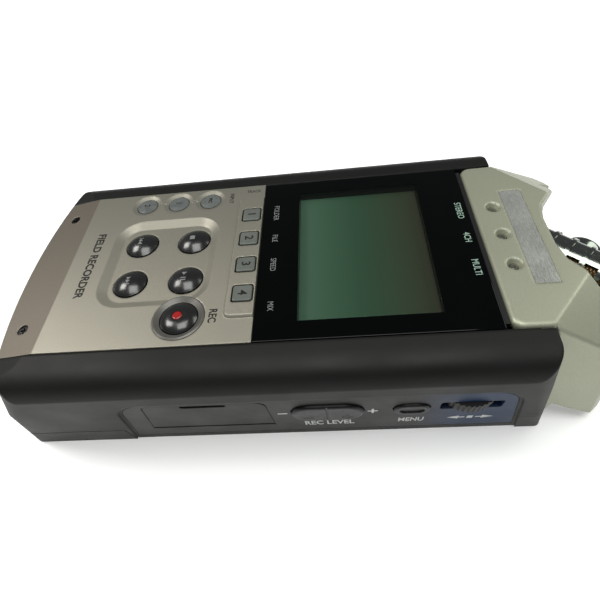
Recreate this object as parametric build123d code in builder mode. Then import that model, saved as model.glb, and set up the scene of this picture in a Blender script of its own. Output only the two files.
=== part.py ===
from build123d import *
import math
import os

os.makedirs("parts", exist_ok=True)

# ---------------------------------------------------------------- driving dimensions (mm)
# Frame: +Z up through the control face, +Y towards the microphones, +X the right flank.
# The back rests on z = 0 and the origin is under the middle of the overall length.
case_z = 34.8          # top of the black crown beside the silver face
face_z = 35.0          # silver control face
half_w0 = 31.4         # half width of the case on z = 0
flank_rise = 0.118     # outward lean of each flank, mm per mm of height
tail_y0 = -78.45        # jack end on z = 0
tail_rise = 0.284      # lean of the jack end
nose_y0 = 52.6         # microphone end of the black case on z = 0
nose_rise = -0.155
wall = 2.0
seam_z = 8.3           # joint line between the middle frame and the rear shells
# sections of the case form: height, tail corner radius, bulge of the jack end, its set-back, nose corner radius
sections = [(0.0, 1.8, 0.05, 0.0, 1.6), (21.0, 2.8, 1.0, 0.0, 4.0), (36.0, 10.0, 6.4, 2.6, 6.5)]

face_half = 25.8       # half width of the silver face
face_tail = -68.3
face_bend = -60.7      # where the tail strip starts to fall
bend_fall = 0.15
face_nose = -12.5
face_t = 2.0
ledge_half = 24.6

win_y0, win_y1 = -12.4, 38.2
win_t = 1.2
lcd_half_x, lcd_y0, lcd_y1 = 20.9, -3.0, 27.3

dish_half_x, dish_half_y = 14.5, 13.9
dish_c = (0.0, -37.3)
dish_depth = 1.1
key_r = 4.05
key_positions = {"rewind_button": (-6.4, -43.7), "stop_button": (-6.4, -30.0),
                 "forward_button": (6.6, -43.7), "play_pause_button": (6.6, -30.0)}
rec_c = (18.4, -29.2)
rec_r = 4.2
rec_ring_r = 5.9
input_x = -21.2
input_y = {"input_button_mic": -27.6, "input_button_1": -36.6, "input_button_2": -45.6}
input_r = 2.75
track_y = -15.3
track_x = {"track_key_1": -13.1, "track_key_2": -4.37, "track_key_3": 4.37, "track_key_4": 13.1}
track_half = 2.2
track_box = (-20.2, 19.4, -19.2, -12.5)
track_rise = 0.65
press = 0.6            # travel of the face keys

led_x = (-9.3, 0.0, 9.3)
led_y = 44.05
name_half_x, name_y0, name_y1 = 15.0, 46.7, 51.7

panel_recess = 0.4
panel_outline = [(-49.6, 0.0), (-44.6, 25.2), (42.1, 25.2), (46.5, 0.0)]
sd_outline = [(-41.9, 8.0), (-38.9, 23.4), (-11.4, 23.4), (-11.4, 8.0)]
sd_pin_t = 8.7
rocker_c, rocker_len, rocker_w = (1.8, 16.3), 16.2, 8.8
menu_c, menu_len, menu_w = (20.4, 16.2), 7.9, 5.8
dial_c, dial_R, dial_t = (33.1, 17.0), 7.0, 3.6
dial_proud = 1.2
dial_slot_len = 13.2

jack_x = 11.2
jack_s = 20.0
jack_flange_r = 10.7
xlr_r = 9.3
xlr_core_r = 7.8
trs_r = 3.2

tripod_y = 27.0
speaker_c = (-17.0, 31.0)
batt_r, batt_len = 7.1, 50.5
batt_y0 = -46.0

mic_r = 5.8
mic_z = {"left": 24.0, "right": 11.2}
mic_joint = (-7.4, 53.2)      # left hand joint face centre; the right hand one is mirrored
mic_socket_deg = 52.5         # socket axis from the centreline
mic_tilt_deg = 7.5            # capsule axis from its socket axis
mic_len = 31.1

# ---------------------------------------------------------------- helper planes
_n = math.hypot(1.0, flank_rise)
right_flank = Plane(origin=(half_w0, 0, 0), x_dir=(0, 1, 0), z_dir=(1 / _n, 0, -flank_rise / _n))
left_flank = Plane(origin=(-half_w0, 0, 0), x_dir=(0, -1, 0), z_dir=(-1 / _n, 0, -flank_rise / _n))
_m = math.hypot(1.0, tail_rise)
tail_plane = Plane(origin=(0, tail_y0, 0), x_dir=(1, 0, 0), z_dir=(0, -1 / _m, tail_rise / _m))


def form_section(z, tail_r, bulge, back, nose_r, inset):
    """Plan outline of the case at height z, drawn inward by inset."""
    x = half_w0 + flank_rise * z - inset
    y0 = tail_y0 + tail_rise * z + back + inset * 1.04
    y1 = nose_y0 + nose_rise * z - inset * 1.02
    with BuildSketch(Plane.XY.offset(z), mode=Mode.PRIVATE) as sk:
        with BuildLine():
            ThreePointArc((-x, y0), (0, y0 - bulge), (x, y0))
            Polyline((x, y0), (x, y1), (-x, y1), (-x, y0))
        make_face()
        fillet(sk.vertices().group_by(Axis.Y)[0], max(tail_r - inset, 0.6))
        fillet(sk.vertices().group_by(Axis.Y)[-1], max(nose_r - inset, 0.6))
    return sk.sketch


def prism_form(inset):
    """The four leaning walls of the case without its crown."""
    with BuildPart() as form:
        for a, b in zip(sections[:-1], sections[1:]):
            with BuildSketch(Plane.XY.offset(a[0])):
                add(form_section(*a, inset).moved(Location((0, 0, -a[0]))))
            with BuildSketch(Plane.XY.offset(b[0])):
                add(form_section(*b, inset).moved(Location((0, 0, -b[0]))))
            loft(ruled=True)
    return form.part


def body_form(inset, top=36.0):
    """The closed form of the case, every face drawn inward by inset."""
    with BuildPart() as form:
        add(prism_form(inset))
        # crown across the width
        with BuildSketch(Plane.XZ) as crown:
            flat = [(25.8, case_z - 0.05), (30.6, 34.2), (33.4, 32.6), (34.75, 30.0), (35.0, 26.5)]
            with BuildLine():
                Polyline((35.0, 26.5), (60, 26.5), (60, 0), (-60, 0), (-60, 26.5), (-35.0, 26.5))
                if inset == 0:
                    Spline(*[(-a, b) for a, b in reversed(flat)], tangents=[(0.05, 1), (1, 0.09)])
                    Polyline((-25.8, case_z - 0.05), (0, case_z), (25.8, case_z - 0.05))
                    Spline(*flat, tangents=[(1, -0.09), (0.05, -1)])
                else:
                    Polyline(*[(-a, b) for a, b in reversed(flat)], (0, case_z), *flat)
            make_face()
            if inset > 0:
                offset(amount=-inset, kind=Kind.INTERSECTION)
        extrude(amount=100, both=True, mode=Mode.INTERSECT)
        # fall of the tail strip
        with BuildSketch(Plane.YZ) as fall:
            with BuildLine():
                Polyline((-100, -10), (100, -10), (100, min(face_z - inset, top)),
                         (face_bend, min(face_z - inset, top)),
                         (-100, min(face_z - inset - bend_fall * (face_bend + 100), top)), close=True)
            make_face()
        extrude(amount=100, both=True, mode=Mode.INTERSECT)
    return form.part


def rounded(pts, r, pick=None):
    """A filled polygon with the picked corners rounded, for the current sketch."""
    with BuildSketch(mode=Mode.PRIVATE) as sk:
        with BuildLine():
            Polyline(*pts, close=True)
        make_face()
        vs = sk.vertices()
        if pick is not None:
            vs = [v for v in vs if pick(v)]
        fillet(vs, r)
    return sk.sketch


outer = body_form(0.0)
inner = body_form(wall, top=31.4)

# outline of the silver face in plan, grown by g; it runs to the jack end and is trimmed by the walls
def face_plan(g=0.0):
    with BuildSketch(Plane.XY, mode=Mode.PRIVATE) as sk:
        with Locations((0, (face_nose + g - 80) / 2)):
            Rectangle(2 * (face_half + g), face_nose + g + 80)
    return sk.sketch


walls = prism_form(0.0)


def face_blank(g=0.0, top=0.0):
    """The bent silver plate before its holes: flat, then falling to the jack end."""
    with BuildPart() as blank:
        with BuildSketch(Plane.YZ):
            with BuildLine():
                end = -80.0
                drop = bend_fall * (face_bend - end)
                Polyline((face_nose + g, face_z - face_t), (face_bend + 0.15, face_z - face_t),
                         (end, face_z - face_t - drop), (end, face_z + top - drop),
                         (face_bend, face_z + top), (face_nose + g, face_z + top), close=True)
            make_face()
        extrude(amount=40, both=True)
        with BuildSketch(Plane.XY.offset(20)):
            add(face_plan(g))
        extrude(amount=30, mode=Mode.INTERSECT)
        if g == 0:
            add(walls, mode=Mode.INTERSECT)
    return blank.part


# ---------------------------------------------------------------- middle frame
boss_xy = [(27.0, -45.6), (-27.0, -45.6), (22.2, 41.9), (-22.2, 41.9)]
with BuildPart() as mid_frame:
    add(outer)
    add(inner, mode=Mode.SUBTRACT)
    # bosses for the rear screws, blended into the walls
    with BuildSketch(Plane.XY.offset(seam_z)):
        with Locations(*boss_xy):
            Circle(2.6)
    extrude(amount=23.6)
    with BuildSketch(Plane.XY.offset(seam_z)):
        with Locations(*boss_xy):
            Circle(1.05)
    extrude(amount=8.0, mode=Mode.SUBTRACT)
    # everything above the seam only
    with BuildSketch(Plane.XY.offset(-5)):
        Rectangle(100, 200)
    extrude(amount=5 + seam_z, mode=Mode.SUBTRACT)
    # pocket for the silver face, then the window and head plate beyond it
    add(face_blank(0.1, top=3.0), mode=Mode.SUBTRACT)
    with BuildSketch(Plane.XY.offset(face_z - face_t)):
        with Locations((0, 20)):
            Rectangle(2 * face_half + 0.2, 66)
    extrude(amount=6, mode=Mode.SUBTRACT)
    # well through the deck
    with BuildSketch(Plane.XY.offset(28)):
        add(rounded([(-ledge_half, -66.0), (ledge_half, -66.0), (ledge_half, 44.5), (-ledge_half, 44.5)], 7.0,
                    pick=lambda v: v.Y < 0))
    extrude(amount=8, mode=Mode.SUBTRACT)
    # screw holes in the tail ledge
    with BuildSketch(Plane.XY.offset(28)):
        with Locations((-18.6, -66.2), (18.6, -66.2)):
            Circle(1.3)
    extrude(amount=8, mode=Mode.SUBTRACT)
    # open mouth at the microphone end for the head
    with BuildSketch(Plane.XZ.offset(-60)):
        with Locations((0, 19)):
            Rectangle(2 * 26.1, 40)
    extrude(amount=15.6, mode=Mode.SUBTRACT)
    # shallow recess and window for each control panel
    for flank, sgn in ((right_flank, 1), (left_flank, -1)):
        pts = [(sgn * a, b) for a, b in panel_outline]
        low = [(sgn * -50.4, -4.0)] + pts[1:3] + [(sgn * 47.2, -4.0)]
        with BuildSketch(flank.offset(-panel_recess)):
            add(rounded(low, 7.5, pick=lambda v: v.Y > 10))
        extrude(amount=3, mode=Mode.SUBTRACT)
        with BuildSketch(flank.offset(-6)):
            add(rounded([(sgn * -48.3, 2.6), (sgn * -43.9, 24.4), (sgn * 41.4, 24.4), (sgn * 45.2, 2.6)], 6.7,
                        pick=lambda v: v.Y > 10))
        extrude(amount=8, mode=Mode.SUBTRACT)
    # round openings for the two input sockets in the jack end
    with BuildSketch(tail_plane.offset(-8)):
        with Locations((-jack_x, jack_s), (jack_x, jack_s)):
            Circle(jack_flange_r + 0.1)
    extrude(amount=12, mode=Mode.SUBTRACT)
mid_frame.part.label = "mid_frame"
export_step(mid_frame.part, "parts/mid_frame.step")

# ---------------------------------------------------------------- rear cover
door_split = -49.5     # the battery door covers the case from here to the jack end
door_y1 = 7.0
door_half = 19.0
with BuildPart() as rear_cover:
    add(outer)
    add(inner, mode=Mode.SUBTRACT)
    # boss round the tripod insert and pillars under the screw bosses
    with BuildSketch(Plane.XY.offset(0.6)):
        with Locations((0, tripod_y)):
            Circle(6.6)
        with Locations(*boss_xy):
            Circle(2.6)
    extrude(amount=seam_z - 0.6)
    with BuildSketch(Plane.XY.offset(-1)):
        with Locations((0, tripod_y)):
            Circle(4.75)
    extrude(amount=8.1, mode=Mode.SUBTRACT)
    with BuildSketch(Plane.XY.offset(-1)):
        with Locations(*boss_xy):
            Circle(1.25)
    extrude(amount=20, mode=Mode.SUBTRACT)
    with BuildSketch(Plane.XY.offset(-1)):
        with Locations(*boss_xy):
            Circle(2.3)
    extrude(amount=3.4, mode=Mode.SUBTRACT)
    # only what lies below the seam and beyond the battery door
    with BuildSketch(Plane.XY.offset(seam_z)):
        Rectangle(100, 200)
    extrude(amount=40, mode=Mode.SUBTRACT)
    with BuildSketch(Plane.XY.offset(-5)):
        with Locations((0, door_split + 0.15 - 30)):
            Rectangle(100, 60)
        with Locations((0, (door_y1 + 0.15 - 60) / 2)):
            Rectangle(2 * door_half + 0.3, door_y1 + 0.15 + 60)
    extrude(amount=30, mode=Mode.SUBTRACT)
    # ledges that carry the sliding door
    for sx in (1, -1):
        with BuildSketch(Plane.XZ.offset(47.0)):
            with BuildLine():
                x = door_half
                Polyline((sx * (x - 1.4), 2.25), (sx * (x + 0.4), 2.25), (sx * (x + 0.4), 1.8), (sx * (x + 1.8), 1.8),
                         (sx * (x + 1.8), 3.3), (sx * (x - 1.4), 3.3), close=True)
            make_face()
        extrude(amount=-52.0)
    # sound slots over the speaker
    with BuildSketch(Plane.XY.offset(-1)):
        with Locations(speaker_c):
            with GridLocations(2.4, 2.4, 5, 5):
                Circle(0.65)
    extrude(amount=4, mode=Mode.SUBTRACT)
    # mouth for the head and the control panel windows
    with BuildSketch(Plane.XZ.offset(-60)):
        with Locations((0, 21.4)):
            Rectangle(2 * 26.1, 38)
    extrude(amount=15.6, mode=Mode.SUBTRACT)
    for flank, sgn in ((right_flank, 1), (left_flank, -1)):
        low = [(sgn * -50.4, -4.0), (sgn * -44.6, 25.2), (sgn * 42.1, 25.2), (sgn * 47.2, -4.0)]
        with BuildSketch(flank.offset(-panel_recess)):
            add(rounded(low, 7.5, pick=lambda v: v.Y > 10))
        extrude(amount=3, mode=Mode.SUBTRACT)
        with BuildSketch(flank.offset(-6)):
            add(rounded([(sgn * -48.3, 2.6), (sgn * -43.9, 24.4), (sgn * 41.4, 24.4), (sgn * 45.2, 2.6)], 6.7,
                        pick=lambda v: v.Y > 10))
        extrude(amount=8, mode=Mode.SUBTRACT)
rear_cover.part.label = "rear_cover"
export_step(rear_cover.part, "parts/rear_cover.step")

# ---------------------------------------------------------------- battery door
with BuildPart() as battery_door:
    add(outer)
    add(inner, mode=Mode.SUBTRACT)
    with BuildSketch(Plane.XY.offset(seam_z - 0.2)):
        Rectangle(100, 200)
    extrude(amount=40, mode=Mode.SUBTRACT)
    with BuildSketch(Plane.XY.offset(-1)):
        Rectangle(100, 200)
    extrude(amount=1.2, mode=Mode.SUBTRACT)
    # trim to the wide tail and the narrow tongue
    with BuildSketch(Plane.XY.offset(-5)):
        with Locations((0, (door_split - 0.15 - 90) / 2)):
            Rectangle(100, 90 + door_split - 0.15)
        with Locations((0, (door_y1 - 90) / 2)):
            Rectangle(2 * door_half, door_y1 + 90)
    extrude(amount=30, mode=Mode.INTERSECT)
    # thumb grip of shallow ribs
    with BuildSketch(Plane.XY.offset(0)):
        with Locations((0, -62)):
            with GridLocations(0, 2.0, 1, 6):
                SlotOverall(15, 0.9)
    extrude(amount=0.75, mode=Mode.SUBTRACT)
battery_door.part.label = "battery_door"
export_step(battery_door.part, "parts/battery_door.step")

# ---------------------------------------------------------------- silver control face
dish_floor = face_z - dish_depth
with BuildPart() as front_cover:
    add(face_blank(0.0))
    # thicker pad under the transport dish
    with BuildSketch(Plane.XY.offset(dish_floor - 1.4)):
        with Locations(dish_c):
            RectangleRounded(2 * dish_half_x + 1.0, 2 * dish_half_y + 1.0, 5)
    extrude(amount=1.4)
    # raised plateau round the track keys
    with BuildSketch(Plane.XY.offset(face_z - 0.5)):
        x0, x1, y0, y1 = track_box
        with Locations(((x0 + x1) / 2, (y0 + y1) / 2)):
            RectangleRounded(x1 - x0, y1 - y0, 1.6)
        with Locations(((x0 + x1) / 2, y1 - 1.0)):
            Rectangle(x1 - x0, 2.0)
    extrude(amount=0.5 + track_rise)
    chamfer(front_cover.edges().filter_by(lambda e: abs(e.center().Z - face_z - track_rise) < 1e-3
                                          and e.center().Y < face_nose - 0.01), 0.45)
    # transport dish with a sloped rim
    with BuildSketch(Plane.XY.offset(face_z)):
        with Locations(dish_c):
            RectangleRounded(2 * dish_half_x, 2 * dish_half_y, 6.8)
    extrude(amount=-dish_depth, taper=63, mode=Mode.SUBTRACT)
    # ring seat of the record key
    with BuildSketch(Plane.XY.offset(face_z - 0.9)):
        with Locations(rec_c):
            Circle(rec_ring_r + 0.05)
    extrude(amount=3, mode=Mode.SUBTRACT)
    # small dished seats of the input keys, joined by a fine groove
    with BuildPart(mode=Mode.PRIVATE) as bowls:
        for y in input_y.values():
            with Locations((input_x, y, face_z + 8.89)):
                Sphere(9.79)
    add(bowls.part, mode=Mode.SUBTRACT)
    with BuildSketch(Plane.XY.offset(face_z - 0.25)):
        with Locations((input_x, -36.6)):
            Rectangle(0.5, 18)
    extrude(amount=1, mode=Mode.SUBTRACT)
    # through holes
    with BuildSketch(Plane.XY.offset(28)):
        with Locations(*key_positions.values()):
            Circle(key_r + 0.25)
        with Locations(rec_c):
            Circle(rec_r + 0.25)
        with Locations(*[(input_x, y) for y in input_y.values()]):
            Circle(input_r + 0.2)
        with Locations(*[(x, track_y) for x in track_x.values()]):
            RectangleRounded(2 * track_half + 0.7, 2 * track_half + 0.7, 0.8)
    extrude(amount=10, mode=Mode.SUBTRACT)
    # two countersunk screws in the tail strip
    with BuildSketch(Plane.XY.offset(30)):
        with Locations((-18.6, -66.2), (18.6, -66.2)):
            Circle(1.35)
    extrude(amount=6, mode=Mode.SUBTRACT)
    # posts that carry the key board
    with BuildSketch(Plane.XY.offset(29.1)):
        with Locations((-22.0, -57.5), (22.0, -57.5), (-22.0, -20.5), (22.0, -20.5)):
            Circle(1.8)
    extrude(amount=4.2)
front_cover.part.label = "front_cover"
export_step(front_cover.part, "parts/front_cover.step")

# ---------------------------------------------------------------- display
with BuildPart() as display_window:
    with BuildSketch(Plane.XY.offset(case_z - win_t)):
        with Locations((0, (win_y0 + win_y1) / 2)):
            Rectangle(2 * face_half - 0.2, win_y1 - win_y0)
    extrude(amount=win_t)
    chamfer(display_window.edges().group_by(Axis.Z)[-1], 0.25)
display_window.part.label = "display_window"
export_step(display_window.part, "parts/display_window.step")

with BuildPart() as lcd_bezel:
    with BuildSketch(Plane.XY.offset(32.6)):
        with Locations((0, 13.4)):
            Rectangle(2 * ledge_half - 0.4, 50.6)
    extrude(amount=0.95)
    # dark strip that stands between the window and the head
    with BuildSketch(Plane.XY.offset(32.6)):
        with Locations((0, 38.75)):
            Rectangle(2 * face_half - 2.8, 0.9)
    extrude(amount=1.9)
    with BuildSketch(Plane.XY.offset(30)):
        with Locations((0, (lcd_y0 + lcd_y1) / 2)):
            Rectangle(2 * lcd_half_x, lcd_y1 - lcd_y0)
    extrude(amount=4, mode=Mode.SUBTRACT)
lcd_bezel.part.label = "lcd_bezel"
export_step(lcd_bezel.part, "parts/lcd_bezel.step")

with BuildPart() as lcd_panel:
    with BuildSketch(Plane.XY.offset(29.2)):
        with Locations((0, 13.0)):
            Rectangle(46, 40)
    extrude(amount=3.4)
lcd_panel.part.label = "lcd_panel"
export_step(lcd_panel.part, "parts/lcd_panel.step")

# ---------------------------------------------------------------- keys
def key_cap(name, c, r, top, dome, lip=0.7, skirt_z=31.4):
    """Round cap with a domed top and a skirt that holds it under the face."""
    R = (r * r + dome * dome) / (2 * dome)
    half = math.asin(r / R) / 2
    with BuildPart() as cap:
        with BuildSketch(Plane.XZ.offset(-c[1])):
            with BuildLine():
                Polyline((c[0], top), (c[0], skirt_z), (c[0] + r + lip, skirt_z), (c[0] + r + lip, skirt_z + 0.8),
                         (c[0] + r, skirt_z + 0.8), (c[0] + r, top - dome))
                ThreePointArc((c[0] + r, top - dome), (c[0] + R * math.sin(half), top - R + R * math.cos(half)),
                              (c[0], top))
            make_face()
        revolve(axis=Axis((c[0], c[1], 0), (0, 0, 1)))
    cap.part.label = name
    export_step(cap.part, "parts/" + name + ".step")
    return cap


for name, c in key_positions.items():
    key_cap(name, c, key_r, face_z + 0.55, 1.4)

# record key with its red lens and the grey ring round it
with BuildPart() as record_button:
    with BuildSketch(Plane.XZ.offset(-rec_c[1])):
        with BuildLine():
            x, top = rec_c[0], face_z + 1.0
            Polyline((x, top - 1.0), (x, 31.4), (x + rec_r + 0.7, 31.4), (x + rec_r + 0.7, 32.4), (x + rec_r, 32.4),
                     (x + rec_r, top - 1.2))
            ThreePointArc((x + rec_r, top - 1.2), (x + 3.0, top - 0.42), (x + 1.15, top - 0.06))
            Line((x + 1.15, top - 0.06), (x + 1.15, top - 1.0))
            Line((x + 1.15, top - 1.0), (x, top - 1.0))
        make_face()
    revolve(axis=Axis((rec_c[0], rec_c[1], 0), (0, 0, 1)))
record_button.part.label = "record_button"
export_step(record_button.part, "parts/record_button.step")

with BuildPart() as record_lens:
    with BuildSketch(Plane.XY.offset(face_z)):
        with Locations(rec_c):
            Circle(1.12)
    extrude(amount=1.0)
    fillet(record_lens.edges().group_by(Axis.Z)[-1], 0.3)
record_lens.part.label = "record_lens"
export_step(record_lens.part, "parts/record_lens.step")

with BuildPart() as record_ring:
    with BuildSketch(Plane.XZ.offset(-rec_c[1])):
        with BuildLine():
            x = rec_c[0]
            z = face_z - 0.9
            Polyline((x + rec_r + 0.25, z), (x + rec_ring_r, z), (x + rec_ring_r, face_z + 0.15),
                     (x + rec_ring_r - 0.35, face_z + 0.3), (x + rec_r + 0.25, face_z - 0.25), close=True)
        make_face()
    revolve(axis=Axis((rec_c[0], rec_c[1], 0), (0, 0, 1)))
record_ring.part.label = "record_ring"
export_step(record_ring.part, "parts/record_ring.step")

for name, y in input_y.items():
    key_cap(name, (input_x, y), input_r, face_z, 0.4, lip=0.4)

for name, x in track_x.items():
    with BuildPart() as track_key:
        with BuildSketch(Plane.XY.offset(31.4)):
            with Locations((x, track_y)):
                RectangleRounded(2 * track_half + 1.2, 2 * track_half + 1.2, 0.8)
        extrude(amount=0.9)
        with BuildSketch(Plane.XY.offset(32.3)):
            with Locations((x, track_y)):
                RectangleRounded(2 * track_half, 2 * track_half, 0.6)
        extrude(amount=face_z + track_rise + 0.2 - 32.3)
        fillet(track_key.faces().sort_by(Axis.Z)[-1].edges(), 0.35)
    track_key.part.label = name
    export_step(track_key.part, "parts/" + name + ".step")

with BuildPart() as keypad_membrane:
    with BuildSketch(Plane.XY.offset(29.1)):
        with Locations((0, -36.6)):
            Rectangle(48.2, 47)
        with Locations((-22.0, -57.5), (22.0, -57.5), (-22.0, -20.5), (22.0, -20.5)):
            Circle(2.0, mode=Mode.SUBTRACT)
    extrude(amount=1.3)
    with BuildSketch(Plane.XY.offset(30.3)):
        with Locations(*key_positions.values()):
            Circle(2.0)
        with Locations(rec_c):
            Circle(2.0)
        with Locations(*[(input_x, y) for y in input_y.values()]):
            Circle(1.5)
        with Locations(*[(x, track_y) for x in track_x.values()]):
            Circle(1.5)
    extrude(amount=0.35)
keypad_membrane.part.label = "keypad_membrane"
export_step(keypad_membrane.part, "parts/keypad_membrane.step")

with BuildPart() as key_board:
    with BuildSketch(Plane.XY.offset(27.5)):
        with Locations((0, -12.5)):
            RectangleRounded(48, 95, 1)
    extrude(amount=1.6)
key_board.part.label = "key_board"
export_step(key_board.part, "parts/key_board.step")

# ---------------------------------------------------------------- control panels on the flanks
def panel(flank, sgn):
    """Plate that fills a panel window, flush with the floor of its recess."""
    with BuildPart() as plate:
        with BuildSketch(flank.offset(-panel_recess)):
            add(rounded([(sgn * -48.2, 2.7), (sgn * -43.8, 24.3), (sgn * 41.3, 24.3), (sgn * 45.1, 2.7)], 6.6,
                        pick=lambda v: v.Y > 10))
        extrude(amount=-1.6)
    return plate.part


def sd_form():
    """Outline of the card door: one broad upper corner, one tighter one."""
    with BuildSketch(mode=Mode.PRIVATE) as sk:
        with BuildLine():
            Polyline(*sd_outline, close=True)
        make_face()
        fillet([v for v in sk.vertices() if v.Y > 15 and v.X > -20], 2.9)
        fillet([v for v in sk.vertices() if v.Y > 15 and v.X < -35], 1.7)
    return sk.sketch


sd_pin = right_flank.offset(-panel_recess - 0.75).from_local_coords((0, sd_pin_t, 0))
with BuildPart() as right_control_panel:
    add(panel(right_flank, 1))
    with BuildSketch(right_flank.offset(2)):
        # door opening, then the smaller mouth behind it
        add(rounded([(x + (0.15 if x > -20 else -0.15), y + (0.15 if y > 15 else -0.15)) for x, y in sd_outline], 1.9,
                    pick=lambda v: v.Y > 15))
    extrude(amount=-4.15, mode=Mode.SUBTRACT)
    with BuildSketch(right_flank.offset(2)):
        with Locations(rocker_c):
            SlotOverall(rocker_len + 0.4, rocker_w + 0.4)
        with Locations(menu_c):
            SlotOverall(menu_len + 0.4, menu_w + 0.4)
        with Locations(dial_c):
            RectangleRounded(dial_slot_len, dial_t + 0.6, 0.8)
    extrude(amount=-8, mode=Mode.SUBTRACT)
    # bearings for the door's hinge pins
    with BuildSketch(Plane.XZ.offset(43.3)):
        with Locations((sd_pin.X, sd_pin.Z)):
            Circle(0.56)
    extrude(amount=-33.3, mode=Mode.SUBTRACT)
    # inner rim that the door closes on
    with BuildSketch(right_flank.offset(-panel_recess - 1.6)):
        with BuildLine():
            Polyline(*[(-43.4, 6.9), (-40.2, 23.6), (-10.2, 23.6), (-10.2, 6.9)], close=True)
        make_face()
        with BuildLine():
            Polyline(*[(-39.6, 10.6), (-37.4, 22.1), (-12.8, 22.1), (-12.8, 10.6)], close=True)
        make_face(mode=Mode.SUBTRACT)
    extrude(amount=-1.0)
right_control_panel.part.label = "right_control_panel"
export_step(right_control_panel.part, "parts/right_control_panel.step")

left_holes = {"phones": (35.0, 16.0), "volume": (20.0, 17.2), "usb": (4.5, 16.5), "power": (-16.5, 17.2), "dc": (-36.5, 14.4)}
with BuildPart() as left_control_panel:
    add(panel(left_flank, -1))
    with BuildSketch(left_flank.offset(2)):
        with Locations((-left_holes["phones"][0], left_holes["phones"][1])):
            Circle(3.05)
        with Locations((-left_holes["volume"][0], left_holes["volume"][1])):
            SlotOverall(14.4, 8.4)
        with Locations((-left_holes["usb"][0], left_holes["usb"][1])):
            RectangleRounded(8.2, 4.6, 0.9)
        with Locations((-left_holes["power"][0], left_holes["power"][1])):
            RectangleRounded(10.4, 3.8, 0.8)
        with Locations((-left_holes["dc"][0], left_holes["dc"][1])):
            Circle(3.3)
    extrude(amount=-8, mode=Mode.SUBTRACT)
left_control_panel.part.label = "left_control_panel"
export_step(left_control_panel.part, "parts/left_control_panel.step")

# level rocker, volume rocker, menu key
def rocker(name, flank, c, length, width, proud):
    with BuildPart() as rk:
        with BuildSketch(flank.offset(-panel_recess - 2.9)):
            with Locations(c):
                SlotOverall(length, width)
        extrude(amount=2.9 + proud)
        # the crown falls away from the middle towards both ends and has a parting groove
        fillet(rk.faces().sort_by(Axis(flank.origin, flank.z_dir))[-1].edges(), 0.7)
        with BuildSketch(flank.offset(-panel_recess + proud - 0.25)):
            with Locations(c):
                Rectangle(0.45, width + 1)
        extrude(amount=1, mode=Mode.SUBTRACT)
    rk.part.label = name
    export_step(rk.part, "parts/" + name + ".step")


rocker("rec_level_rocker", right_flank, rocker_c, rocker_len, rocker_w, 0.9)
rocker("volume_rocker", left_flank, (-left_holes["volume"][0], left_holes["volume"][1]), 14.0, 8.0, 0.9)

with BuildPart() as menu_button:
    with BuildSketch(right_flank.offset(-panel_recess - 1.7 - 0.9)):
        with Locations(menu_c):
            SlotOverall(menu_len + 1.2, menu_w + 1.2)
    extrude(amount=0.9)
    with BuildSketch(right_flank.offset(-panel_recess - 1.8)):
        with Locations(menu_c):
            SlotOverall(menu_len, menu_w)
    extrude(amount=1.8 + 0.65)
    fillet(menu_button.faces().sort_by(Axis(right_flank.origin, right_flank.z_dir))[-1].edges(), 0.55)
    # oval hollow in its crown
    with BuildSketch(right_flank.offset(-panel_recess + 0.65 - 0.35)):
        with Locations(menu_c):
            SlotOverall(menu_len - 2.4, menu_w - 2.6)
    extrude(amount=1.0, mode=Mode.SUBTRACT)
menu_button.part.label = "menu_button"
export_step(menu_button.part, "parts/menu_button.step")

# scroll dial on an upright spindle in its bracket
dial_depth = dial_R - dial_proud + panel_recess
dial_plane = Plane(origin=(right_flank.offset(-dial_depth).from_local_coords((dial_c[0], dial_c[1], 0))),
                   x_dir=(0, 1, 0), z_dir=right_flank.y_dir)
with BuildPart() as scroll_dial:
    with BuildSketch(dial_plane.offset(-dial_t / 2)):
        Circle(dial_R)
        with PolarLocations(dial_R + 0.18, 40):
            Circle(0.42, mode=Mode.SUBTRACT)
        Circle(1.05, mode=Mode.SUBTRACT)
    extrude(amount=dial_t)
scroll_dial.part.label = "scroll_dial"
export_step(scroll_dial.part, "parts/scroll_dial.step")

with BuildPart() as dial_bracket:
    with BuildSketch(dial_plane.offset(-dial_t / 2 - 1.4)):
        with Locations((0, 2.0)):
            RectangleRounded(9, 9, 1.5)
    extrude(amount=1.1)
    with BuildSketch(dial_plane.offset(-dial_t / 2 - 1.4)):
        Circle(1.0)
    extrude(amount=dial_t + 1.4)
dial_bracket.part.label = "dial_bracket"
export_step(dial_bracket.part, "parts/dial_bracket.step")

# ---------------------------------------------------------------- card door, socket and card
with BuildPart() as sd_door:
    with BuildSketch(right_flank.offset(-panel_recess - 1.45)):
        add(sd_form())
    extrude(amount=1.4)
    with BuildSketch(right_flank.offset(-panel_recess - 0.6)):
        with Locations((-25.3, 22.3)):
            SlotOverall(10.4, 1.3)
    extrude(amount=3, mode=Mode.SUBTRACT)
    # rounded foot so that the lower edge clears the panel as it turns
    foot = sd_door.edges().filter_by(Axis.Y).sort_by(Axis.Z)[:2]
    fillet(foot, 0.62)
    # hinge pins at both ends of the foot
    with BuildSketch(Plane.XZ.offset(43.1)):
        with Locations((sd_pin.X, sd_pin.Z)):
            Circle(0.5)
    extrude(amount=-32.8)
sd_door.part.label = "sd_door"
export_step(sd_door.part, "parts/sd_door.step")

card_z = 19.2
with BuildPart() as sd_socket:
    with BuildSketch(Plane.XY.offset(card_z - 1.7)):
        with Locations((13.0, -25.0)):
            Rectangle(30, 27.5)
    extrude(amount=3.7)
    with BuildSketch(Plane.XY.offset(card_z - 1.15)):
        with Locations((15.0, -25.0)):
            Rectangle(31, 24.5)
    extrude(amount=2.3, mode=Mode.SUBTRACT)
sd_socket.part.label = "sd_socket"
export_step(sd_socket.part, "parts/sd_socket.step")

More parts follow.
